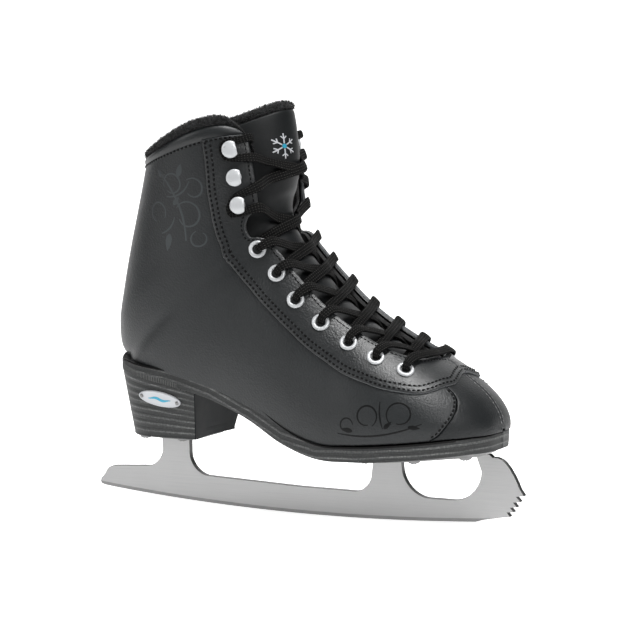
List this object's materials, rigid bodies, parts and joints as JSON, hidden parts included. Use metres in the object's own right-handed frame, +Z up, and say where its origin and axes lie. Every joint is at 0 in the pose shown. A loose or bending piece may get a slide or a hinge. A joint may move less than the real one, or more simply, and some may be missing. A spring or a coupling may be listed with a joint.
{
  "type": "figure skate",
  "caption": "Laced black figure skate boot on a stacked heel, with a padded tongue, eyelets, lace hooks and a flat steel blade with a toe pick.",
  "frame": {"origin": "below the middle of the blade's length, at the height of the lowest point of its running edge", "axes": "+X to the toe, -Y to the outer side of the foot, +Z up; this is a right skate"},
  "size_m": [0.2318, 0.086, 0.2039],
  "materials": {
    "upper_vinyl": "semi-matte black vinyl with a fine pebble grain",
    "facing_vinyl": "semi-matte black vinyl, double stitched",
    "collar_vinyl": "soft black vinyl over foam",
    "tongue_vinyl": "soft black vinyl",
    "fleece": "short black fleece pile",
    "lining_cloth": "brushed knit lining",
    "fibreboard": "pressed fibre",
    "footbed_foam": "cloth-covered foam",
    "tongue_foam": "felt and foam",
    "sole_block": "dark grey with the look of stacked leather",
    "heel_block": "dark grey with the look of stacked leather",
    "shank_steel": "mill",
    "plate_steel": "satin stainless",
    "screw_steel": "plated",
    "blade_steel": "satin stainless with a ground edge band",
    "badge_white": "silver white",
    "rivet_white": "small bright rivet",
    "eyelet_metal": "white enamelled metal",
    "hook_metal": "white enamelled metal",
    "lace_braid": "flat black braid"
  },
  "bodies": {
    "boot": {"vamp_near": "upper_vinyl", "quarter_near": "upper_vinyl", "facing_near": "facing_vinyl", "lining_near": "lining_cloth", "vamp_far": "upper_vinyl", "quarter_far": "upper_vinyl", "facing_far": "facing_vinyl", "lining_far": "lining_cloth", "toe_box": "fibreboard", "heel_counter": "fibreboard", "insole_board": "fibreboard", "shank": "shank_steel", "footbed": "footbed_foam", "collar_band": "collar_vinyl", "collar_fleece": "fleece", "outsole": "sole_block", "heel_block": "heel_block", "heel_plate": "plate_steel", "sole_plate": "plate_steel", "blade": "blade_steel", "heel_badge": "badge_white", "badge_rivet_rear": "rivet_white", "badge_rivet_front": "rivet_white", "lace": "lace_braid", "heel_screw_1_near": "screw_steel", "heel_screw_1_far": "screw_steel", "heel_screw_2_near": "screw_steel", "heel_screw_2_far": "screw_steel", "sole_screw_1_near": "screw_steel", "sole_screw_1_far": "screw_steel", "sole_screw_2_near": "screw_steel", "sole_screw_2_far": "screw_steel", "sole_screw_3_near": "screw_steel", "sole_screw_3_far": "screw_steel", "eyelet_1_near": "eyelet_metal", "eyelet_1_far": "eyelet_metal", "eyelet_2_near": "eyelet_metal", "eyelet_2_far": "eyelet_metal", "eyelet_3_near": "eyelet_metal", "eyelet_3_far": "eyelet_metal", "eyelet_4_near": "eyelet_metal", "eyelet_4_far": "eyelet_metal", "eyelet_5_near": "eyelet_metal", "eyelet_5_far": "eyelet_metal", "eyelet_6_near": "eyelet_metal", "eyelet_6_far": "eyelet_metal", "eyelet_7_near": "eyelet_metal", "eyelet_7_far": "eyelet_metal", "hook_1_near": "hook_metal", "hook_1_far": "hook_metal", "hook_2_near": "hook_metal", "hook_2_far": "hook_metal", "hook_3_near": "hook_metal", "hook_3_far": "hook_metal"},
    "tongue": {"tongue_face": "tongue_vinyl", "tongue_padding": "tongue_foam", "tongue_lining": "lining_cloth", "tongue_trim": "fleece"}
  },
  "joints": [
    {"name": "tongue_swing", "type": "hinge", "parent": "boot", "child": "tongue", "pos_m": [0.057, 0, 0.082], "axis": [0, -1, 0], "range_deg": [0, 10]}
  ]
}
